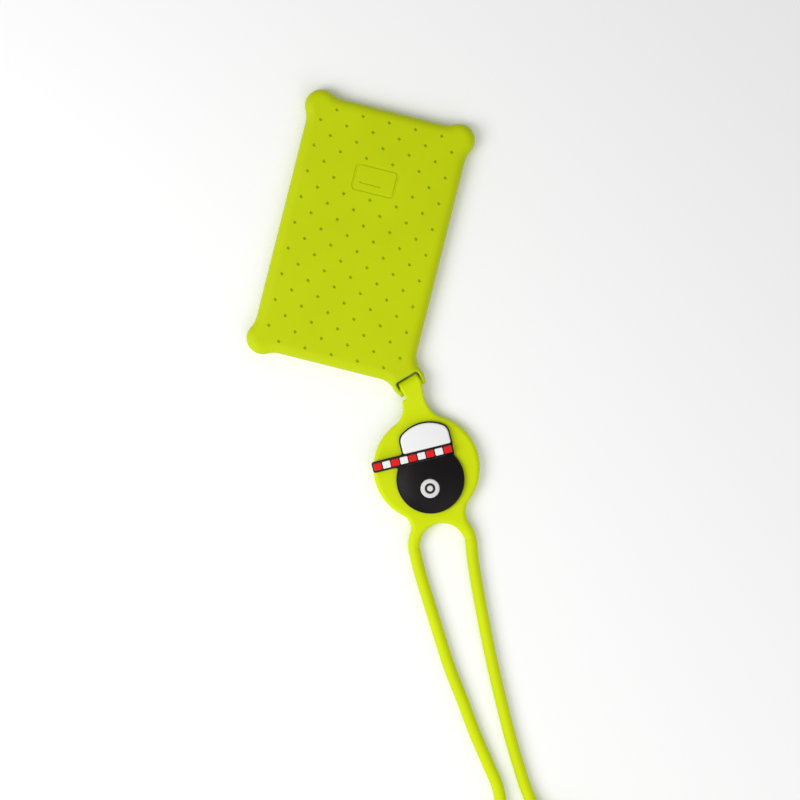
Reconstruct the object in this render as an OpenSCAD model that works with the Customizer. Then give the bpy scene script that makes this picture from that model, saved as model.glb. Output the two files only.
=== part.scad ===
// Soft silicone card holder: a one-piece sleeve with four ears and a slotted lug at one corner,
// and a neck lanyard whose tongue loops round the bar of that lug.
// Millimetres. The sleeve lies on z = 0, window down and dimpled back up, centred on the origin;
// X runs across the card, Y along it. The lug is at the +X -Y corner.

/* [Card pocket] */
// Width of the pocket, for a card up to 55 mm wide
pocket_w = 57; // [56:0.5:60]
// Length of the pocket, for a card up to 91 mm long
pocket_l = 92; // [91:0.5:95]
// Depth of the pocket, a few cards thick
pocket_depth = 2.6; // [1.5:0.1:3]
// Width of the lip that holds the card in along the sides
side_lip = 5.5; // [3:0.5:8]
// Width of the lip that holds the card in at the two ends
end_lip = 5; // [3:0.5:8]

/* [Sleeve] */
// Wall beside the pocket
side_wall = 3.5; // [2.5:0.5:5]
// Wall at the ends of the pocket
end_wall = 5; // [4:0.5:7]
// Thickness of the lip round the window
lip_t = 2.3; // [1.5:0.1:3]
// Thickness of the closed, dimpled back
back_t = 2.1; // [1.5:0.1:3]
// Radius of the three plain ears
ear_r = 6.3; // [5:0.1:7]
// How far an ear stands out past the sides and ends
ear_out = 2; // [1:0.1:3]

/* [Lug] */
// Radius of the lug at the lanyard's corner
lug_r = 6.6; // [6:0.1:8]
// How far the lug stands out past the side
lug_out_x = 6; // [5:0.1:8]
// How far the lug stands out past the end
lug_out_y = 4.7; // [4:0.1:7]
// Radius of the bar that the strap loops round
bar_r = 1.6; // [1.2:0.1:1.8]
// Width of the mouth that the strap passes through
mouth_w = 9.8; // [9.6:0.1:10.2]

/* [Lanyard] */
// Width of the strap
strap_w = 8.2; // [7:0.1:8.2]
// Thickness of the strap
strap_t = 1.8; // [1.2:0.1:1.8]
// Diameter of the round pendant
pendant_d = 41.5; // [36:0.5:46]
// Thickness of the pendant
pendant_t = 5.2; // [5:0.1:6]
// Radius of the arch between the two legs
arch_r = 8.8; // [7:0.1:10]
// Width of each leg
leg_w = 4.75; // [4:0.05:6]
// Diameter of the neck cord
cord_d = 4.6; // [4:0.1:4.6]

/* [Badge] */
// Radius of the black dome
dome_r = 13; // [11:0.5:14]
// Height of the badge's backing plate
backing_t = 1.6; // [1:0.1:2]
// Number of tiles on the band, red at both ends
tile_count = 9; // [5:2:13]
// Radius of the round white button
button_r = 3.7; // [3:0.1:4]

/* [Hidden] */
$fn = 64;
bite = 0.15;

lime = [0.72, 0.82, 0];
yellow_lime = [0.78, 0.88, 0.06];
black = [0.13, 0.12, 0.12];
white = [0.95, 0.95, 0.95];
red = [0.84, 0.1, 0.1];
clear_grey = [0.75, 0.77, 0.78];

// Sleeve
sleeve_w = pocket_w + 2 * side_wall;
sleeve_l = pocket_l + 2 * end_wall;
sleeve_t = lip_t + pocket_depth + back_t;
pocket_round = 3;
window_w = pocket_w - 2 * side_lip;
window_l = pocket_l - 2 * end_lip;
window_round = 6;
ear_fillet = 10;
lug_fillet = 8;

// Lug and its bar. The lug faces diagonally outwards, so the bar crosses it at 45 degrees.
lug_turn = -45;
lug_x = sleeve_w / 2 + lug_out_x - lug_r;
lug_y = -(sleeve_l / 2 + lug_out_y - lug_r);
bar_out = 2.4;
bar_z = sleeve_t / 2;
mouth_back = 4;
mouth_round = 1;
bar_x = lug_x + bar_out * cos(lug_turn);
bar_y = lug_y + bar_out * sin(lug_turn);

// Pendant: its own x axis points away from the lug, down between the two legs.
pendant_x = 46.6;
pendant_y = -80.2;
pendant_turn = -65;
flare_left = 8;
flare_right = 10.5;
arch_out = 31;
leg_t = 4.8;
arch_side = 0.4;
leg_fillet_left = 5.5;
leg_fillet_right = 8;

// Strap loop: round the bar, then back to the stud under the pendant.
loop_gap = 0.08;
loop_in = bar_r + loop_gap;
loop_out = loop_in + strap_t;
loop_shift = -0.3;
skew = lug_turn - pendant_turn;
loop_w = strap_w / cos(skew);
strap_len = 32.25;
layer_bite = 0.06;
layer_lap = 0.5;
clear_of_lug = 4.4;
web_z = 2.9;
flap_z = 1;
flap_t = 1.75;
pad_r = 5.6;
channel_w = strap_w + 1.2;
channel_r = pad_r + 0.6;

// Stud, cap and badge
stud_r = 2;
stud_gap = 0.06;
press = 0.1;
cap_r = 5.2;
cap_z = 0.1;
cap_t = 0.8;
badge_z = pendant_t + 0.1;
badge_turn = 28;
face_z = badge_z + backing_t;
dome_pos = [0.35, -4.7];
dome_h = 2.4;
band_from = -20;
band_to = 11.4;
band_low = 3.4;
band_high = 6.8;
band_t = 1.3;
tile_t = 0.5;
tile_gap = 0.35;
panel_from = -7.5;
panel_to = 11.5;
panel_low = 7.3;
panel_arc_r = 14;
panel_arc_y = 3.2;
panel_t = 1.4;
border = 0.6;
button_pos = [-0.65, -7.9];
button_z = face_z + 1;
button_t = 1.9;
ring_in = 1.2;
ring_out = 2;
ring_t = 0.3;

// Coil of the neck cord that is put away, and the tie round it
coil_x = 134.5;
coil_y = -230;
coil_in = 17.5;
coil_out = 31.3;
coil_z = 0.6;
coil_h = 2 * cord_d + 0.2;
tie_t = 0.6;
tie_w = 7;
tie_turn = -60;

// Routes of the two strands, from the legs to the coil. They lie on the surface.
lie_z = cord_d / 2;
left_route = [[50, -113, lie_z], [54, -120.5, lie_z], [60, -130.5, lie_z], [67, -142, lie_z],
              [74.5, -154, lie_z], [82, -164.5, lie_z], [90, -176, lie_z], [98, -186.5, lie_z],
              [104.5, -195.5, lie_z], [107.5, -204, lie_z], [107, -214, 2.6]];
right_route = [[70.2, -103.4, lie_z], [73, -111, lie_z], [78, -122.5, lie_z], [83.5, -134.5, lie_z],
               [90, -148, lie_z], [97, -161.5, lie_z], [104, -174.5, lie_z], [110.5, -185.5, lie_z],
               [116, -194, 2.8], [121.5, -200, 4], [128.5, -203, 5.8]];

// ---------- shapes that repeat ----------

// A rounded corner of the given radius that stands out past the sleeve's side and end, blended into
// both by concave fillets. Drawn at the +X +Y corner. Each fillet bites a little into what it
// blends, so that no two faces only touch.
module corner(out_x, out_y, r, fillet) {
    cx = sleeve_w / 2 + out_x - r;
    cy = sleeve_l / 2 + out_y - r;
    reach = fillet + r - bite;
    side_x = sleeve_w / 2 + fillet - bite;
    side_y = cy - sqrt(pow(reach, 2) - pow(side_x - cx, 2));
    end_y = sleeve_l / 2 + fillet - bite;
    end_x = cx - sqrt(pow(reach, 2) - pow(end_y - cy, 2));
    translate([cx, cy]) circle(r);
    difference() {
        polygon([[cx, cy], [side_x, side_y], [sleeve_w / 2 - 2 * r, side_y]]);
        translate([side_x, side_y]) circle(fillet);
    }
    difference() {
        polygon([[cx, cy], [end_x, end_y], [end_x, sleeve_l / 2 - 2 * r]]);
        translate([end_x, end_y]) circle(fillet);
    }
}

// A rectangle with round corners, centred.
module round_rect(w, l, r) {
    square([w - 2 * r, l], center = true);
    square([w, l - 2 * r], center = true);
    for (sx = [-1, 1], sy = [-1, 1])
        translate([sx * (w / 2 - r), sy * (l / 2 - r)]) circle(r);
}

module at_bar() {
    translate([bar_x, bar_y, bar_z]) rotate([0, 0, lug_turn]) children();
}

module at_pendant() {
    translate([pendant_x, pendant_y, 0]) rotate([0, 0, pendant_turn]) children();
}

module at_badge() {
    translate([pendant_x, pendant_y, 0]) rotate([0, 0, badge_turn]) children();
}

// A side profile drawn in x and z, given a thickness along y.
module upright(w) {
    rotate([90, 0, 0]) linear_extrude(w, center = true) children();
}

// Unit vector along a route at point i, and a closed tube swept along the route.
function unit(v) = v / norm(v);
function heading(route, i) =
    unit(route[min(i + 1, len(route) - 1)] - route[max(i - 1, 0)]);
function ring_at(route, i, r, sides) =
    let (t = heading(route, i), side = unit(cross(t, [0, 0, 1])), top = cross(side, t))
    [for (k = [0 : sides - 1])
        route[i] + r * (cos(360 * k / sides) * side + sin(360 * k / sides) * top)];

module tube(route, d, sides = 10) {
    n = len(route);
    points = [for (i = [0 : n - 1]) each ring_at(route, i, d / 2, sides)];
    walls = [for (i = [0 : n - 2], k = [0 : sides - 1])
        let (a = i * sides, b = (k + 1) % sides)
        [a + k, a + b, a + sides + b, a + sides + k]];
    caps = [[for (k = [sides - 1 : -1 : 0]) k], [for (k = [0 : sides - 1]) (n - 1) * sides + k]];
    polyhedron(points, concat(walls, caps));
}

// ---------- sleeve ----------

module sleeve_outline() {
    square([sleeve_w, sleeve_l], center = true);
    corner(ear_out, ear_out, ear_r, ear_fillet);
    mirror([1, 0]) corner(ear_out, ear_out, ear_r, ear_fillet);
    mirror([1, 0]) mirror([0, 1]) corner(ear_out, ear_out, ear_r, ear_fillet);
    mirror([0, 1]) corner(lug_out_x, lug_out_y, lug_r, lug_fillet);
}

module mouth() {
    depth = mouth_back + lug_r;
    translate([depth / 2 - mouth_back, 0]) round_rect(depth, mouth_w, mouth_round);
}

module card_sleeve() {
    color(lime) {
        difference() {
            linear_extrude(sleeve_t) sleeve_outline();
            translate([0, 0, lip_t]) linear_extrude(pocket_depth)
                round_rect(pocket_w, pocket_l, pocket_round);
            translate([0, 0, -1]) linear_extrude(lip_t + 2)
                round_rect(window_w, window_l, window_round);
            at_bar() translate([0, 0, -sleeve_t]) linear_extrude(2 * sleeve_t) mouth();
        }
        at_bar() rotate([90, 0, 0]) cylinder(r = bar_r, h = mouth_w + 1, center = true);
    }
}

// ---------- lanyard ----------

module loop_round_bar() {
    at_bar() translate([0, loop_shift, 0]) upright(loop_w) difference() {
        circle(loop_out);
        circle(loop_in);
        translate([0, -2 * loop_out]) square(4 * loop_out);
    }
}

// The two layers of the strap beyond the bar: the upper runs into the pendant, the lower to the stud.
// Their edge keeps inside the mouth of the lug until it is clear of it.
module strap_layers() {
    low = loop_shift - loop_w / 2 + layer_bite;
    start = -3;
    drop = 1.8;
    join = 8;
    inner = loop_in + layer_bite;
    outer = loop_out - layer_bite;
    web_top = pendant_t - bar_z - layer_bite;
    web_low = web_z - bar_z + layer_bite;
    flap_low = flap_z - bar_z;
    intersection() {
        at_pendant() translate([-strap_len, 0, bar_z]) upright(strap_w) {
            polygon([[start, inner], [start, outer], [drop, outer], [join, web_top],
                     [join + 6, web_top], [join + 6, web_low], [join, web_low], [drop, inner]]);
            polygon([[start, -outer], [start, -inner], [drop, -inner],
                     [join, flap_low + flap_t], [strap_len, flap_low + flap_t],
                     [strap_len, flap_low], [join, flap_low], [drop, -outer]]);
        }
        at_bar() translate([0, 0, -sleeve_t]) linear_extrude(2 * sleeve_t) polygon([
            [-layer_lap, low], [clear_of_lug, low], [clear_of_lug + 4, low - 4],
            [pendant_d, low - pendant_d], [pendant_d, pendant_d], [-layer_lap, pendant_d]]);
    }
}

// Concave blend of radius r between the strap and the pendant's rim, on the +y side.
module flare(r) {
    flare_y = strap_w / 2 + r - bite;
    flare_x = -sqrt(pow(pendant_d / 2 + r - bite, 2) - pow(flare_y, 2));
    difference() {
        polygon([[0, 0], [flare_x, flare_y], [flare_x, 0]]);
        translate([flare_x, flare_y]) circle(r);
    }
}

module legs() {
    outer = arch_r + leg_w;
    difference() {
        translate([arch_out, arch_side]) circle(outer);
        translate([arch_out, arch_side]) circle(arch_r);
        translate([arch_out, -2 * outer]) square(4 * outer);
    }
}

// Concave blend between the pendant's rim and the outside of the leg on the +y side, where the
// arch's centre is off by side.
module leg_blend(side, fillet) {
    to_pendant = pendant_d / 2 + fillet - bite;
    to_arch = arch_r + leg_w + fillet - bite;
    apart = norm([arch_out, side]);
    tilt = atan2(side, arch_out);
    fx = (pow(to_pendant, 2) - pow(to_arch, 2) + pow(apart, 2)) / (2 * apart);
    fy = sqrt(pow(to_pendant, 2) - pow(fx, 2));
    rotate(tilt) difference() {
        polygon([[0, 0], [fx, fy], [apart, 0]]);
        translate([fx, fy]) circle(fillet);
        translate([apart, 0]) circle(arch_r);
    }
}

module lanyard_yoke() {
    color(yellow_lime) difference() {
        union() {
            at_pendant() difference() {
                union() {
                    cylinder(d = pendant_d, h = pendant_t);
                    linear_extrude(leg_t) {
                        legs();
                        leg_blend(arch_side, leg_fillet_right);
                        mirror([0, 1]) leg_blend(-arch_side, leg_fillet_left);
                    }
                }
                translate([0, 0, -1]) cylinder(r = channel_r, h = web_z + 1);
                translate([-pendant_d, -channel_w / 2, -1]) cube([pendant_d, channel_w, web_z + 1]);
            }
            at_pendant() translate([0, 0, web_z]) linear_extrude(pendant_t - web_z) {
                flare(flare_right);
                mirror([0, 1]) flare(flare_left);
            }
            loop_round_bar();
            strap_layers();
            at_pendant() translate([0, 0, flap_z + layer_bite])
                cylinder(r = pad_r, h = flap_t - 2 * layer_bite);
        }
        at_pendant() translate([0, 0, -1]) cylinder(r = stud_r + stud_gap, h = pendant_t + 2);
    }
}

module cord_left() {
    color(yellow_lime) tube(left_route, cord_d);
}

module cord_right() {
    color(yellow_lime) tube(right_route, cord_d);
}

module cord_coil() {
    color(yellow_lime) translate([coil_x, coil_y, coil_z]) rotate_extrude()
        translate([coil_in, 0]) square([coil_out - coil_in, coil_h]);
}

module coil_tie() {
    inner_w = coil_out - coil_in + 1;
    color(clear_grey) translate([coil_x, coil_y, coil_z + coil_h / 2])
        rotate([0, 0, tie_turn]) translate([(coil_in + coil_out) / 2, 0, 0]) difference() {
            cube([inner_w + 2 * tie_t, tie_w, coil_h + 2 * tie_t], center = true);
            cube([inner_w, tie_w + 1, coil_h], center = true);
        }
}

// ---------- badge ----------

module dome_outline() {
    translate(dome_pos) circle(dome_r);
}

module panel_outline(grow = 0) {
    intersection() {
        translate([(panel_from + panel_to) / 2, panel_arc_y]) circle(panel_arc_r + grow);
        translate([panel_from - grow, panel_low - grow])
            square([panel_to - panel_from + 2 * grow, panel_arc_r + 2 * grow]);
    }
}

module band_outline(grow = 0) {
    translate([(band_from + band_to) / 2, (band_low + band_high) / 2])
        round_rect(band_to - band_from + 2 * grow, band_high - band_low + 2 * grow, 1);
}

module badge_body() {
    rim_r = dome_r - 0.5;
    ball_r = (pow(rim_r, 2) + pow(dome_h, 2)) / (2 * dome_h);
    color(black) at_badge() difference() {
        union() {
            translate([0, 0, badge_z]) linear_extrude(backing_t) {
                dome_outline();
                panel_outline(border);
                band_outline(border);
            }
            intersection() {
                translate([dome_pos[0], dome_pos[1], face_z + dome_h - ball_r]) sphere(ball_r);
                translate([-dome_r * 2, -dome_r * 2, face_z - backing_t / 2])
                    cube([4 * dome_r, 2 * dome_r + band_low - tile_gap, dome_h + backing_t]);
            }
        }
        translate([button_pos[0], button_pos[1], button_z]) cylinder(r = button_r, h = 5);
        translate([0, 0, badge_z - 1]) cylinder(r = stud_r - press, h = 2);
    }
}

module badge_panel() {
    color(white) at_badge() translate([0, 0, face_z]) linear_extrude(panel_t) panel_outline();
}

module badge_band() {
    color(black) at_badge() translate([0, 0, face_z]) linear_extrude(band_t) band_outline();
}

module tiles(first) {
    pitch = (band_to - band_from) / tile_count;
    at_badge() for (i = [first : 2 : tile_count - 1])
        translate([band_from + i * pitch + tile_gap / 2, band_low + tile_gap, face_z + band_t])
            cube([pitch - tile_gap, band_high - band_low - 2 * tile_gap, tile_t]);
}

module band_red_tiles() {
    color(red) tiles(0);
}

module band_white_tiles() {
    color(white) tiles(1);
}

module badge_button() {
    color(white) at_badge() translate([button_pos[0], button_pos[1], button_z]) difference() {
        cylinder(r = button_r, h = button_t);
        translate([0, 0, button_t - ring_t]) difference() {
            cylinder(r = ring_out, h = ring_t + 1);
            translate([0, 0, -1]) cylinder(r = ring_in, h = ring_t + 3);
        }
    }
}

module button_ring() {
    color(black) at_badge()
        translate([button_pos[0], button_pos[1], button_z + button_t - ring_t]) difference() {
            cylinder(r = ring_out, h = ring_t);
            translate([0, 0, -1]) cylinder(r = ring_in, h = ring_t + 2);
        }
}

module badge_stud() {
    color(black) at_badge() translate([0, 0, cap_z]) cylinder(r = stud_r, h = badge_z + 1 - cap_z);
}

module badge_cap() {
    color(black) at_badge() translate([0, 0, cap_z]) difference() {
        cylinder(r = cap_r, h = cap_t);
        translate([0, 0, -1]) cylinder(r = stud_r - press, h = cap_t + 2);
    }
}

card_sleeve();
lanyard_yoke();
cord_left();
cord_right();
cord_coil();
coil_tie();
badge_body();
badge_panel();
badge_band();
band_red_tiles();
band_white_tiles();
badge_button();
button_ring();
badge_stud();
badge_cap();
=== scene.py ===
"""The looks of the silicone card holder with neck lanyard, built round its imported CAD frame.

Lengths are millimetres, as in the CAD model, and MM turns them into metres. Only the floor and
the lights are placed in metres. Every moulded piece is a distance field: negative inside the
silicone, zero on its skin. That gives real rounded rims, blends and dimples, and true normals.
"""

import math

import bpy
import numpy as np
import openvdb
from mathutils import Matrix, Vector


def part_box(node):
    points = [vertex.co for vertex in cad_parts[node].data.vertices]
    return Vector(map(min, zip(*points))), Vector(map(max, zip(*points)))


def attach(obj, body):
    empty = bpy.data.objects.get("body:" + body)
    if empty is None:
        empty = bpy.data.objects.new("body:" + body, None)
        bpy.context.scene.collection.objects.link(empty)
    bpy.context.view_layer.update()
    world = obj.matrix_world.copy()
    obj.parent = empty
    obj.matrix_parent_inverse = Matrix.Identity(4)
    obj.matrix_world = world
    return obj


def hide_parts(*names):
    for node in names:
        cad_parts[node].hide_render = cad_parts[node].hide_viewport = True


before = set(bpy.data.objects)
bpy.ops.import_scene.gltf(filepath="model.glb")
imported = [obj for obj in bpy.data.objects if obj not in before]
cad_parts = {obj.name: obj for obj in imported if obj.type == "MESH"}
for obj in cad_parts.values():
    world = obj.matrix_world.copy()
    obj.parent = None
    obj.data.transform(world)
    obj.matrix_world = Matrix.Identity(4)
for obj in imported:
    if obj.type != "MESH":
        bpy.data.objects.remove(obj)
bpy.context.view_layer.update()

MM = 0.001

# Sleeve
SLEEVE_W, SLEEVE_L, SLEEVE_T = 64.0, 102.0, 7.0
POCKET_W, POCKET_L, LIP_T, BACK_T = 57.0, 92.0, 2.3, 2.1
WINDOW_W, WINDOW_L = 46.0, 82.0
EAR_R, EAR_OUT, EAR_FILLET = 6.3, 2.0, 10.0
LUG_R, LUG_FILLET = 6.6, 8.0
LUG = (SLEEVE_W / 2 + 6.0 - LUG_R, -(SLEEVE_L / 2 + 4.7 - LUG_R))
DIMPLE_R, DIMPLE_DEPTH, DIMPLE_ROWS = 0.6, 1.0, 19
DIMPLE_PITCH_X, DIMPLE_PITCH_Y = 10.5, 5.15
MARK_Y, MARK_DEPTH, MARK_LINE = 23.2, 0.32, 0.72

# Bar of the lug, and the strap's loop round it
LUG_TURN = math.radians(-45)
BAR_R, BAR_Z = 1.6, SLEEVE_T / 2
BAR = (LUG[0] + 2.4 * math.cos(LUG_TURN), LUG[1] + 2.4 * math.sin(LUG_TURN))
MOUTH_W, MOUTH_BACK, MOUTH_R = 9.8, 4.0, 1.0
STRAP_W, STRAP_T = 8.5, 1.8
LOOP_R = BAR_R + 0.08 + STRAP_T / 2
STRAP_LEN = 32.25

# Pendant
PENDANT = (46.6, -80.2)
PENDANT_TURN = math.radians(-65)
PENDANT_R, PENDANT_T = 20.75, 5.2
WEB_Z, FLAP_Z, PAD_R = 2.9, 1.9, 5.6
NECK_RIM, DISC_RIM = 0.9, 1.8
ARCH, ARCH_R, LEG_W = (31.0, 0.4), 8.8, 4.75
LEG_FILLETS = {1: 8.0, -1: 5.5}
FLARES = {1: 10.5, -1: 8.0}
STRAP_EDGES = {1: STRAP_W / 2, -1: STRAP_W / 2 + 0.4}

# Badge
BADGE_TURN = math.radians(28)
BADGE_Z, FACE_Z = 5.3, 6.9
DOME, DOME_R = (0.35, -4.7), 13.0
BAND_FROM, BAND_TO, BAND_LOW, BAND_HIGH = -20.0, 11.4, 3.4, 6.8
PANEL_FROM, PANEL_TO, PANEL_LOW = -7.5, 11.5, 7.3
BUTTON, BUTTON_R, RING_R = (-0.65, -7.9), 3.7, 1.6
STUD_R, CAP_R = 2.0, 5.2
TILES = 9

# Neck cord
CORD_D = 4.6
LIE = CORD_D / 2
COIL = (134.5, -230.0)
COIL_Z = 0.6
TIE_TURN = math.radians(-60)
LEFT_ROUTE = [
    (50, -113, LIE), (54, -120.5, LIE), (60, -130.5, LIE), (67, -142, LIE), (74.5, -154, LIE),
    (82, -164.5, LIE), (90, -176, LIE), (98, -186.5, LIE), (104.5, -195.5, LIE),
    (107.5, -204, LIE), (107, -214, 2.6),
]
RIGHT_ROUTE = [
    (70.2, -103.4, LIE), (73, -111, LIE), (78, -122.5, LIE), (83.5, -134.5, LIE),
    (90, -148, LIE), (97, -161.5, LIE), (104, -174.5, LIE), (110.5, -185.5, LIE),
    (116, -194, 2.8), (121.5, -200, 4), (128.5, -203, 5.8),
]


# ---------- camera ----------


def add_camera():
    """Looks straight down on the part with the photograph's roll, through a long lens."""
    view_w, distance, roll = 311.2, 900.0, math.radians(14.09)
    aim = (30.1, -57.1, 5.0)
    data = bpy.data.cameras.new("camera")
    data.lens_unit = "FOV"
    data.angle = 2 * math.atan(view_w / 2 / distance)
    data.clip_start = 0.01
    camera = bpy.data.objects.new("camera", data)
    camera.location = (aim[0] * MM, aim[1] * MM, (aim[2] + distance) * MM)
    camera.rotation_euler = (0, 0, roll)
    bpy.context.scene.collection.objects.link(camera)
    bpy.context.scene.camera = camera


# ---------- neck cord ----------


def coil_points():
    """The put-away cord: two flat layers of turns, wound inwards below and outwards on top."""
    start_r, inner_r, pitch = 29.0, 19.8, CORD_D
    turns, per_turn = 3.75, 24
    climb_from, climb_over = 1.85, 0.4
    low = COIL_Z + LIE
    points = []
    for i in range(1, int(turns * per_turn)):
        t = i / per_turn
        climb = smooth(climb_from, climb_from + climb_over, t)
        outwards = max(t - climb_from - climb_over, 0.0)
        r = max(start_r - pitch * t, inner_r) + pitch * outwards
        angle = math.radians(180) + 2 * math.pi * t
        points.append((
            COIL[0] + r * math.cos(angle),
            COIL[1] + r * math.sin(angle),
            low + (CORD_D + 0.1) * float(climb),
        ))
    return points


def cord_curve(material):
    """One closed-ended run of cord: down the left strand, round the coil and back up the right."""
    points = LEFT_ROUTE + coil_points() + RIGHT_ROUTE[::-1]
    data = bpy.data.curves.new("neck_cord", "CURVE")
    data.dimensions = "3D"
    spline = data.splines.new("BEZIER")
    spline.bezier_points.add(len(points) - 1)
    for bezier, point in zip(spline.bezier_points, points):
        bezier.co = Vector(point) * MM
        bezier.handle_left_type = bezier.handle_right_type = "AUTO"
    spline.resolution_u = 6
    data.bevel_depth = CORD_D / 2 * MM
    data.bevel_resolution = 6
    data.use_fill_caps = True
    data.materials.append(material)
    cord = bpy.data.objects.new("neck_cord", data)
    bpy.context.scene.collection.objects.link(cord)
    return cord, points


# ---------- distance fields ----------


TURN, FAR = 2 * math.pi, 99.0


def smooth(low, high, x):
    """0 below low, 1 above high, and a smooth step between."""
    t = np.clip((x - low) / (high - low), 0.0, 1.0)
    return t * t * (3 - 2 * t)


def circle2(x, y, r):
    return np.hypot(x, y) - r


def box2(x, y, half_w, half_l, r):
    """A rectangle with round corners, centred."""
    qx, qy = np.abs(x) - half_w + r, np.abs(y) - half_l + r
    return np.hypot(np.maximum(qx, 0), np.maximum(qy, 0)) + np.minimum(np.maximum(qx, qy), 0) - r


def join(a, b, k):
    """Both shapes, with a soft blend about k wide where they meet."""
    h = np.maximum(k - np.abs(a - b), 0) / k
    return np.minimum(a, b) - h * h * k / 4


def cut(a, b, k):
    """Shape a without shape b, with softened edges."""
    return -join(-a, b, k)


def rounded(flat, across, r, power=2.0):
    """A flat outline given a thickness: across is negative within it, and its rims have radius r.
    A power above 2 eases the rim into the flats, as a superellipse does."""
    w, h = flat + r, across + r
    rim = (np.maximum(w, 0) ** power + np.maximum(h, 0) ** power) ** (1 / power)
    return np.minimum(np.maximum(w, h), 0) + rim - r


def slab(flat, z, low, high, r_low, r_high, power=2.0):
    """An outline from z low to z high, with its own rim radius below and above."""
    middle = low + (high - low) * r_low / (r_low + r_high)
    across = np.where(z > middle, z - high, low - z)
    return rounded(flat, across, np.where(z > middle, r_high, r_low), power)


def arc2(x, y, centre, r, start, end):
    """Distance outside a circle, only in the sector that runs anticlockwise from start to end."""
    dx, dy = x - centre[0], y - centre[1]
    inside = (np.arctan2(dy, dx) - start) % TURN <= (end - start) % TURN
    return np.where(inside, np.hypot(dx, dy) - r, FAR)


def nearest(*distances):
    """Signed distance to an outline of lines and arcs that meet tangentially."""
    best = distances[0]
    for d in distances[1:]:
        best = np.where(np.abs(d) < np.abs(best), d, best)
    return best


def direction(a, b):
    return math.atan2(b[1] - a[1], b[0] - a[0])


def corner2(x, y, centre, r, fillet):
    """A round corner that stands out past a side and an end, in the +x +y quadrant."""
    cx, cy = centre
    side, end = SLEEVE_W / 2, SLEEVE_L / 2
    low = (side + fillet, cy - math.sqrt((fillet + r) ** 2 - (side + fillet - cx) ** 2))
    high = (cx - math.sqrt((fillet + r) ** 2 - (end + fillet - cy) ** 2), end + fillet)
    return nearest(
        np.where(y < low[1], x - side, FAR),
        np.where(x < high[0], y - end, FAR),
        -arc2(x, y, low, fillet, direction(low, centre), TURN / 2),
        -arc2(x, y, high, fillet, -TURN / 4, direction(high, centre)),
        arc2(x, y, centre, r, direction(centre, low), direction(centre, high)),
    )


def turned(x, y, centre, angle):
    """x and y seen from a frame at centre, turned by angle."""
    dx, dy = x - centre[0], y - centre[1]
    return (
        dx * math.cos(angle) + dy * math.sin(angle),
        -dx * math.sin(angle) + dy * math.cos(angle),
    )


# ---------- sleeve ----------


def sleeve_outline(x, y):
    ear = (SLEEVE_W / 2 + EAR_OUT - EAR_R, SLEEVE_L / 2 + EAR_OUT - EAR_R)
    lug = corner2(x, -y, (LUG[0], -LUG[1]), LUG_R, LUG_FILLET)
    ears = corner2(np.abs(x), np.abs(y), ear, EAR_R, EAR_FILLET)
    return np.where((x > 0) & (y < 0), lug, ears)


def nearest_dimple(x, y):
    """Distance to the nearest dimple's centre. Rows of five and of six dimples take turns."""
    pitch_x, pitch_y, rows = DIMPLE_PITCH_X, DIMPLE_PITCH_Y, DIMPLE_ROWS
    clear_x, clear_y = 12, 4.5
    best = np.full(np.broadcast(x, y).shape, FAR)
    for odd in (0, 1):
        row = np.round((y / pitch_y + (rows - 1) / 2 - odd) / 2) * 2 + odd
        row = np.clip(row, odd, rows - 1 - odd)
        cy = (row - (rows - 1) / 2) * pitch_y
        cx = np.clip(np.round(x / pitch_x - odd / 2), -2 - odd, 2) * pitch_x + odd * pitch_x / 2
        under_mark = (np.abs(cx) < clear_x) & (np.abs(cy - MARK_Y) < clear_y)
        d = np.hypot(x - cx, y - cy) + np.where(under_mark, FAR, 0.0)
        best = np.minimum(best, d)
    return best


def mark2(x, y):
    """A plain pressed-in picture of a card: its outline and one line on it."""
    y = y - MARK_Y
    half_w, half_h, corner_r = 8.2, 5.0, 1.6
    outline = np.abs(box2(x, y, half_w, half_h, corner_r)) - MARK_LINE / 2
    line = box2(x + 1.5, y + 1.9, 4.2, MARK_LINE / 2, 0.3)
    return np.minimum(outline, line)


def sleeve_field(x, y, z):
    top = SLEEVE_T
    rim_below, rim_above, rim_power = 2.4, 4.4, 2.4
    d = slab(sleeve_outline(x, y), z, 0.0, top, rim_below, rim_above, rim_power)
    pocket = slab(box2(x, y, POCKET_W / 2, POCKET_L / 2, 3.0), z, LIP_T, top - BACK_T, 0.5, 0.5)
    window = np.maximum(box2(x, y, WINDOW_W / 2, WINDOW_L / 2, 6.0), z - LIP_T - 1)
    d = cut(d, window, 1.6)
    d = cut(d, pocket, 0.5)
    a, b = turned(x, y, BAR, LUG_TURN)
    mouth = box2(a - 6, b, 6 + MOUTH_BACK, MOUTH_W / 2, MOUTH_R)
    d = cut(d, mouth, 1.2)
    bar = np.maximum(np.hypot(a, z - BAR_Z) - BAR_R, np.abs(b) - MOUTH_W / 2 - 0.6)
    d = join(d, bar, 0.8)
    from_middle = np.hypot(nearest_dimple(x, y) / DIMPLE_R, (z - top) / DIMPLE_DEPTH)
    d = cut(d, DIMPLE_R * (from_middle - 1), 0.2)
    groove = np.maximum(mark2(x, y), top - MARK_DEPTH - z)
    return cut(d, groove, 0.15)


# ---------- lanyard ----------


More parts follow.
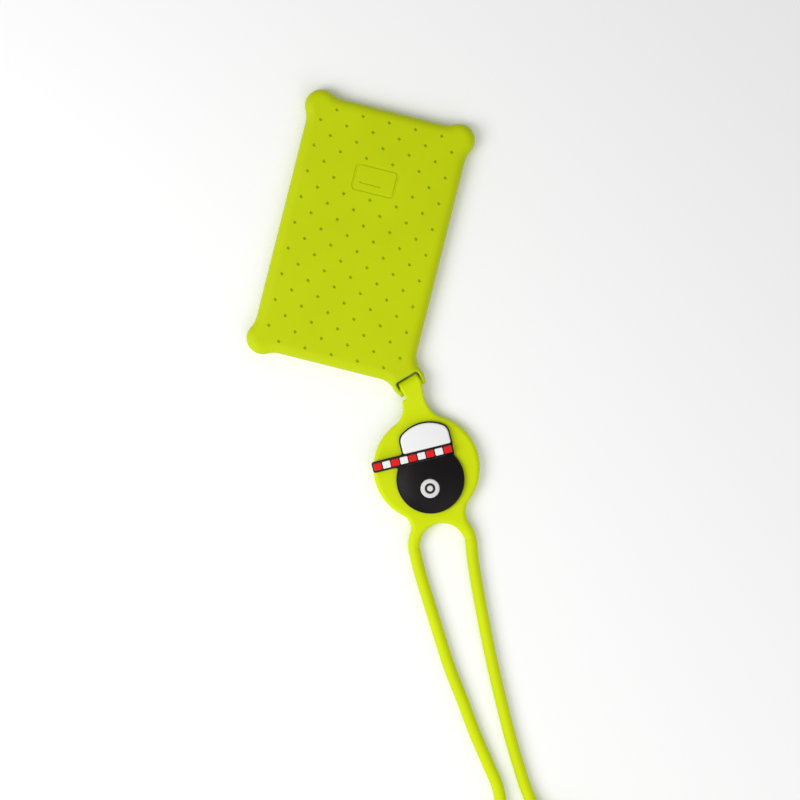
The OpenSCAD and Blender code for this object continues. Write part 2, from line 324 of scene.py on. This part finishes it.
def disc_outline(u, v):
    """The pendant's rim, the webs to the legs and the arch between the legs."""
    halves = []
    for side, fillet in LEG_FILLETS.items():
        w = v * side
        arch = (ARCH[0], ARCH[1] * side)
        leg_r = ARCH_R + LEG_W
        apart, tilt = math.hypot(*arch), math.atan2(arch[1], arch[0])
        to_rim, to_leg = PENDANT_R + fillet, leg_r + fillet
        along = (to_rim**2 - to_leg**2 + apart**2) / (2 * apart)
        aside = math.sqrt(to_rim**2 - along**2)
        web = (
            along * math.cos(tilt) - aside * math.sin(tilt),
            along * math.sin(tilt) + aside * math.cos(tilt),
        )
        halves.append(nearest(
            arc2(u, w, (0, 0), PENDANT_R, direction((0, 0), web), TURN / 2),
            -arc2(u, w, web, fillet, direction(web, (0, 0)), direction(web, arch)),
            arc2(u, w, arch, leg_r, TURN / 4, direction(arch, web)),
            -arc2(u, w, arch, ARCH_R, TURN / 4, TURN * 0.75),
            np.where(u > arch[0], np.abs(w - arch[1] - leg_r + LEG_W / 2) - LEG_W / 2, FAR),
        ))
    return np.where(v > 0, halves[0], halves[1])


def neck_outline(u, v):
    """The strap's edges, widening into the pendant's rim by a concave arc on each side."""
    halves = []
    for side, r in FLARES.items():
        w = v * side
        middle = STRAP_EDGES[side] + r
        flare = (-math.sqrt((PENDANT_R + r) ** 2 - middle**2), middle)
        halves.append(nearest(
            np.where(u < flare[0], w - STRAP_EDGES[side], FAR),
            -arc2(u, w, flare, r, -TURN / 4, direction(flare, (0, 0))),
            arc2(u, w, (0, 0), PENDANT_R, 0, direction((0, 0), flare)),
        ))
    return np.where(v > 0, halves[0], halves[1])


def strap_edge(a, b, strip):
    """Distance outside the edges of a straight strip once it is led through the lug's mouth. On
    the -b side it keeps inside the mouth until it is clear of the swinging lug."""
    half = STRAP_W / 2
    d = np.minimum(strip, np.maximum(np.abs(b) - half, a - 1.0))
    for side, until in ((1, 1.0), (-1, 3.2)):
        d = cut(d, np.maximum(half - b * side, a - until), 0.6)
    return d


def strap_field(x, y, z):
    """The strap from the pendant's top, round the bar, and back under it to the stud."""
    u, v = turned(x, y, PENDANT, PENDANT_TURN)
    a, b = turned(x, y, BAR, LUG_TURN)
    turned_off = smooth(1.0, 12.0, a)
    s = a * (1 - turned_off) + (u + STRAP_LEN) * turned_off
    sloping = smooth(0.3, 9.0, s)
    upper_end = (PENDANT_T + WEB_Z) / 2
    upper = BAR_Z + LOOP_R + (upper_end - BAR_Z - LOOP_R) * sloping
    upper_t = STRAP_T + (PENDANT_T - WEB_Z - STRAP_T) * sloping
    lower = BAR_Z - LOOP_R + (FLAP_Z - BAR_Z + LOOP_R) * sloping
    rim = NECK_RIM + (DISC_RIM - NECK_RIM) * smooth(-24.0, -17.0, u)
    edge = strap_edge(a, b, neck_outline(u, v))
    top = rounded(edge, (np.abs(z - upper) - upper_t / 2) * 0.96, rim)
    flap = np.maximum(strap_edge(a, b, np.abs(v) - STRAP_W / 2), u)
    flap = np.minimum(flap, circle2(u, v, PAD_R))
    below = rounded(flap, np.abs(z - lower) - STRAP_T / 2, 0.7)
    loop = rounded(edge, np.abs(np.hypot(s, z - BAR_Z) - LOOP_R) - STRAP_T / 2, NECK_RIM)
    return np.where(s < 0, loop, np.minimum(top, below))


def leg_stub(x, y, z, route):
    """The end of a leg: it grows out of the leg and tapers into the cord that starts in it."""
    start, end = np.array(route[0]), np.array(route[1])
    along = (end - start) / np.linalg.norm(end - start)
    dx, dy, dz = x - start[0], y - start[1], z - start[2]
    t = dx * along[0] + dy * along[1] + dz * along[2]
    across = np.sqrt(np.maximum(dx**2 + dy**2 + dz**2 - t**2, 0))
    behind, ahead = 1.5, 6.5
    radius = LEG_W / 2 - 0.23 + 0.25 * smooth(-behind, 0.5, t) - 0.3 * smooth(0.5, 6.0, t)
    length = np.abs(t - (ahead - behind) / 2) - (ahead + behind) / 2
    return np.maximum(across - radius, length)


def yoke_field(x, y, z):
    u, v = turned(x, y, PENDANT, PENDANT_TURN)
    leg = smooth(21.0, 30.0, u)
    top = PENDANT_T - (PENDANT_T - LEG_W) * leg
    disc = slab(disc_outline(u, v), z, 0.0, top, 1.3 + 1.05 * leg, DISC_RIM + 0.55 * leg)
    leg_end = ARCH[0] + 0.5
    disc = np.maximum(disc + 0.7 * smooth(leg_end - 3, leg_end, u), u - leg_end)
    for route in (LEFT_ROUTE, RIGHT_ROUTE):
        disc = join(disc, leg_stub(x, y, z, route), 0.5)
    channel = np.maximum(np.abs(v) - STRAP_W / 2 - 0.6, u)
    channel = np.maximum(np.minimum(channel, circle2(u, v, PAD_R + 0.6)), z - WEB_Z)
    disc = cut(disc, channel, 0.6)
    d = np.minimum(disc, strap_field(x, y, z))
    return cut(d, circle2(u, v, STUD_R + 0.06), 0.2)


# ---------- badge ----------


def panel2(a, b, grow):
    """The white panel's outline, grown by some millimetres: a box under a large round top."""
    top_b, top_r, half_h = 3.2, 14.0, 8.0
    a = a - (PANEL_FROM + PANEL_TO) / 2
    d = circle2(a, b - top_b, top_r + grow)
    half_w = (PANEL_TO - PANEL_FROM) / 2 + grow
    box = box2(a, b - PANEL_LOW - half_h + grow, half_w, half_h, 0.8)
    return -join(-d, -box, 1.6)


def band2(a, b, grow):
    """The belt's outline, grown by some millimetres."""
    half_w, half_l = (BAND_TO - BAND_FROM) / 2 + grow, (BAND_HIGH - BAND_LOW) / 2 + grow
    return box2(a - (BAND_FROM + BAND_TO) / 2, b - (BAND_LOW + BAND_HIGH) / 2, half_w, half_l, 1.0)


def badge_body_field(x, y, z):
    a, b = turned(x, y, PENDANT, BADGE_TURN)
    outline = join(circle2(a - DOME[0], b - DOME[1], DOME_R), panel2(a, b, 0.6), 1.0)
    outline = join(outline, band2(a, b, 0.5), 1.0)
    plate = slab(outline, z, BADGE_Z, FACE_Z, 0.4, 0.7)
    across = np.hypot(a - DOME[0], b - DOME[1])
    squashed, ball_r = 4.2, DOME_R - 0.2
    ball = np.hypot(across / squashed, z - BADGE_Z - 1.0) - ball_r / squashed
    ball = np.maximum(ball, b - BAND_LOW + 0.3)
    d = join(plate, ball, 0.8)
    socket = np.maximum(circle2(a - BUTTON[0], b - BUTTON[1], BUTTON_R + 0.15), 8.0 - z)
    return cut(d, socket, 0.5)


def badge_panel_field(x, y, z):
    a, b = turned(x, y, PENDANT, BADGE_TURN)
    crown = 0.5 * (1 - ((a - 2) / 10) ** 2) * (1 - ((b - 12) / 8) ** 2)
    return slab(panel2(a, b, 0.0), z - crown, FACE_Z - 0.6, FACE_Z + 1.1, 0.2, 0.6)


def badge_band_field(x, y, z):
    a, b = turned(x, y, PENDANT, BADGE_TURN)
    return slab(band2(a, b, 0.0), z, FACE_Z - 0.2, FACE_Z + 1.3, 0.2, 0.5)


def tile_field(first):
    """Every second tile of the band, from the one numbered first."""
    pitch = (BAND_TO - BAND_FROM) / TILES
    half_l = (BAND_HIGH - BAND_LOW) / 2 - 0.35

    def field(x, y, z):
        a, b = turned(x, y, PENDANT, BADGE_TURN)
        d = np.full(np.broadcast(a, z).shape, FAR)
        for i in range(first, TILES, 2):
            middle = BAND_FROM + (i + 0.5) * pitch
            tile = box2(a - middle, b - (BAND_LOW + BAND_HIGH) / 2, pitch / 2 - 0.18, half_l, 0.35)
            d = np.minimum(d, tile)
        return slab(d, z, FACE_Z + 1.0, FACE_Z + 1.8, 0.1, 0.3)

    return field


def badge_button_field(x, y, z):
    a, b = turned(x, y, PENDANT, BADGE_TURN)
    across = np.hypot(a - BUTTON[0], b - BUTTON[1])
    top = FACE_Z + 2.9
    d = slab(across - BUTTON_R, z, FACE_Z + 1.0, top, 0.2, 0.55)
    groove = np.maximum(np.abs(across - RING_R) - 0.45, top - 0.35 - z)
    return cut(d, groove, 0.2)


def button_ring_field(x, y, z):
    a, b = turned(x, y, PENDANT, BADGE_TURN)
    across = np.hypot(a - BUTTON[0], b - BUTTON[1])
    return slab(np.abs(across - RING_R) - 0.4, z, FACE_Z + 2.5, FACE_Z + 2.82, 0.05, 0.15)


def badge_stud_field(x, y, z):
    across = np.hypot(x - PENDANT[0], y - PENDANT[1])
    return slab(across - STUD_R, z, 0.1, BADGE_Z + 1.0, 0.3, 0.3)


def badge_cap_field(x, y, z):
    across = np.hypot(x - PENDANT[0], y - PENDANT[1])
    d = slab(across - CAP_R, z, 0.1, 0.9, 0.35, 0.35)
    return cut(d, across - STUD_R + 0.05, 0.1)


def coil_tie_field(x, y, z):
    """A soft strip round all the turns of the coil, with its free end lapped on top."""
    a, b = turned(x, y, COIL, TIE_TURN)
    middle_r, half_w, half_h, thick = 24.4, 7.7, 4.95, 0.3
    zm = COIL_Z + 4.7
    loop = np.abs(box2(a - middle_r, z - zm, half_w, half_h, 2.2)) - thick
    d = rounded(np.abs(b) - 3.5, loop, 0.25)
    lap = np.abs(box2(a - middle_r, z - zm, half_w + 0.5, half_h + 0.5, 2.6)) - 0.25
    lap = np.maximum(lap, np.maximum(zm - z + 2.0, a - middle_r - 3))
    return np.minimum(d, rounded(np.abs(b) - 3.2, lap, 0.2))


# ---------- meshes ----------


def skin_normals(field, points):
    """The field's slope at each point, by central differences."""
    h = 0.02
    x, y, z = points.T
    slopes = [
        field(x + h, y, z) - field(x - h, y, z),
        field(x, y + h, z) - field(x, y - h, z),
        field(x, y, z + h) - field(x, y, z - h),
    ]
    return np.stack(slopes, axis=1) / (2 * h)


def without_scraps(points, triangles, quads):
    """Drops the scraps, of up to 40 faces, that meshing can leave beside a piece."""
    corners = [(f, i) for f in (triangles, quads) for i in range(f.shape[1])]
    edges = np.concatenate([f[:, [i, i - 1]] for f, i in corners])
    label = np.arange(len(points))
    settled = False
    while not settled:
        a, b = label[edges[:, 0]], label[edges[:, 1]]
        lower = label.copy()
        np.minimum.at(lower, a, np.minimum(a, b))
        np.minimum.at(lower, b, np.minimum(a, b))
        lower = lower[lower]
        settled = np.array_equal(lower, label)
        label = lower
    scrap = 40
    first = np.concatenate([triangles[:, 0], quads[:, 0]])
    keep = np.bincount(label[first], minlength=len(points))[label] > scrap
    place = np.cumsum(keep) - 1
    kept = [place[f[keep[f[:, 0]]]] for f in (triangles, quads)]
    return points[keep], *kept


def mesh_from_field(name, field, node, step, material, merge=0.02):
    """Meshes a field round a CAD node's box, settles each vertex on the skin and gives it the
    field's own normal."""
    margin = 3.37 * step
    low, high = (np.array(corner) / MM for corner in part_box(node))
    low, high = low - margin, high + margin
    axes = [np.arange(a, b + step, step) for a, b in zip(low, high)]
    x, y, z = np.meshgrid(*axes, indexing="ij", sparse=True)
    values = np.broadcast_to(field(x, y, z), [len(a) for a in axes]).astype(np.float32)
    grid = openvdb.FloatGrid(float(values.max()))
    grid.copyFromArray(np.clip(values, -3 * step, 3 * step))
    points, triangles, quads = without_scraps(*grid.convertToPolygons(0.0, merge))
    points = low + points.astype(float) * step
    for _ in range(3):
        normals = skin_normals(field, points)
        steep = np.maximum((normals**2).sum(axis=1), 0.25)
        move = field(*points.T)[:, None] * normals / steep[:, None]
        points -= np.clip(move, -step / 2, step / 2)
    normals = skin_normals(field, points)
    normals /= np.maximum(np.linalg.norm(normals, axis=1), 1e-6)[:, None]
    mesh = bpy.data.meshes.new(name)
    mesh.from_pydata((points * MM).tolist(), [], quads.tolist() + triangles.tolist())
    mesh.polygons.foreach_set("use_smooth", [True] * len(mesh.polygons))
    mesh.normals_split_custom_set_from_vertices(normals.tolist())
    mesh.materials.append(material)
    piece = bpy.data.objects.new(name, mesh)
    bpy.context.scene.collection.objects.link(piece)
    return piece


# ---------- materials ----------


def principled(name, colour, roughness, specular=0.12):
    material = bpy.data.materials.new(name)
    material.use_nodes = True
    shader = material.node_tree.nodes["Principled BSDF"]
    shader.inputs["Base Color"].default_value = (*colour, 1)
    shader.inputs["Roughness"].default_value = roughness
    shader.inputs["Specular IOR Level"].default_value = specular
    return material, shader


def rubber(name, colour, roughness, grain=0.35, sheen=0.0):
    """Moulded rubber: slightly uneven colour and gloss, and a fine grain from the mould."""
    material, shader = principled(name, colour, roughness)
    shader.inputs["Sheen Weight"].default_value = sheen
    shader.inputs["Sheen Roughness"].default_value = 0.4
    shader.inputs["Sheen Tint"].default_value = (0.85, 0.82, 1.0, 1)
    nodes, links = material.node_tree.nodes, material.node_tree.links
    place = nodes.new("ShaderNodeTexCoord")

    def noise(scale, detail):
        node = nodes.new("ShaderNodeTexNoise")
        node.inputs["Scale"].default_value = scale
        node.inputs["Detail"].default_value = detail
        links.new(place.outputs["Object"], node.inputs["Vector"])
        return node.outputs["Fac"]

    def spread(source, low, high):
        node = nodes.new("ShaderNodeMapRange")
        node.inputs["To Min"].default_value = low
        node.inputs["To Max"].default_value = high
        links.new(source, node.inputs["Value"])
        return node.outputs["Result"]

    tint = nodes.new("ShaderNodeMix")
    tint.data_type = "RGBA"
    tint.inputs[6].default_value = (*[c * 0.94 for c in colour], 1)
    tint.inputs[7].default_value = (*[min(c * 1.05, 1) for c in colour], 1)
    links.new(noise(60, 3), tint.inputs[0])
    links.new(tint.outputs[2], shader.inputs["Base Color"])
    links.new(spread(noise(400, 4), roughness - 0.05, roughness + 0.07), shader.inputs["Roughness"])
    bump = nodes.new("ShaderNodeBump")
    bump.inputs["Strength"].default_value = grain
    bump.inputs["Distance"].default_value = 0.00004
    links.new(noise(3500, 2), bump.inputs["Height"])
    links.new(bump.outputs["Normal"], shader.inputs["Normal"])
    return material


# ---------- stage ----------


def add_floor():
    size = 3.0
    mesh = bpy.data.meshes.new("floor")
    mesh.from_pydata(
        [(-size, -size, 0), (size, -size, 0), (size, size, 0), (-size, size, 0)], [], [(0, 1, 2, 3)]
    )
    material, _ = principled("floor", (0.95, 0.95, 0.95), 0.9, 0.0)
    mesh.materials.append(material)
    floor = bpy.data.objects.new("floor", mesh)
    bpy.context.scene.collection.objects.link(floor)


def add_light(name, place, target, size, power):
    data = bpy.data.lights.new(name, "AREA")
    data.size = size
    data.energy = power
    light = bpy.data.objects.new(name, data)
    light.location = place
    light.rotation_euler = (Vector(target) - Vector(place)).to_track_quat("-Z", "Y").to_euler()
    bpy.context.scene.collection.objects.link(light)


def add_world(strength):
    world = bpy.data.worlds.new("world")
    world.use_nodes = True
    background = world.node_tree.nodes["Background"]
    background.inputs["Color"].default_value = (1, 1, 1, 1)
    background.inputs["Strength"].default_value = strength
    bpy.context.scene.world = world


# ---------- the object ----------

bpy.context.scene.view_settings.view_transform = "Standard"

add_camera()

LOOKS = {
    "lime_silicone": rubber("lime", (0.515, 0.62, 0.0), 0.45),
    "yellow_lime_silicone": rubber("yellow_lime", (0.61, 0.735, 0.0), 0.45),
    "black_rubber": rubber("black", (0.005, 0.003, 0.0035), 0.42, sheen=0.3),
    "white_rubber": rubber("white", (0.84, 0.84, 0.84), 0.35, 0.2),
    "red_rubber": rubber("red", (0.72, 0.016, 0.014), 0.35, 0.2),
    "dark_rubber": rubber("dark", (0.02, 0.018, 0.018), 0.4),
    "tie_plastic": rubber("frosted", (0.6, 0.62, 0.64), 0.3, 0.15),
}

# A greyer copy of the white rubber for the button alone: painted shade standing in for the shading
# that falls on the button.
button_white_painted_shade = rubber("button_white_painted_shade", (0.68, 0.68, 0.675), 0.35, 0.2)

cord, route = cord_curve(LOOKS["yellow_lime_silicone"])
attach(cord, "lanyard")
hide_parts("cord_left", "cord_right", "cord_coil")

PIECES = [
    ("sleeve_moulding", sleeve_field, "card_sleeve", 0.2, "lime_silicone", "sleeve"),
    ("lanyard_moulding", yoke_field, "lanyard_yoke", 0.22, "yellow_lime_silicone", "lanyard"),
    ("badge_plate", badge_body_field, "badge_body", 0.15, "black_rubber", "badge"),
    ("badge_white_panel", badge_panel_field, "badge_panel", 0.15, "white_rubber", "badge"),
    ("badge_belt", badge_band_field, "badge_band", 0.15, "black_rubber", "badge"),
    ("belt_red_tiles", tile_field(0), "band_red_tiles", 0.1, "red_rubber", "badge"),
    ("belt_white_tiles", tile_field(1), "band_white_tiles", 0.1, "white_rubber", "badge"),
    ("badge_white_button", badge_button_field, "badge_button", 0.1, "white_rubber", "badge"),
    ("button_dark_ring", button_ring_field, "button_ring", 0.08, "dark_rubber", "badge"),
    ("push_stud", badge_stud_field, "badge_stud", 0.12, "dark_rubber", "badge"),
    ("stud_cap", badge_cap_field, "badge_cap", 0.12, "dark_rubber", "badge"),
    ("coil_band", coil_tie_field, "coil_tie", 0.12, "tie_plastic", "lanyard"),
]
for name, field, node, step, slot_name, body in PIECES:
    # The white button takes the greyer copy of the white, which is painted shade.
    look = button_white_painted_shade if name == "badge_white_button" else LOOKS[slot_name]
    piece = mesh_from_field(name, field, node, step, look)
    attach(piece, body)
    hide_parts(node)

add_floor()
add_light("key", (-0.36, -0.28, 0.5), (0.02, -0.07, 0), 0.45, 2.8)
add_light("fill", (0.4, -0.5, 0.6), (0.06, -0.12, 0), 0.7, 2.0)
add_world(0.45)
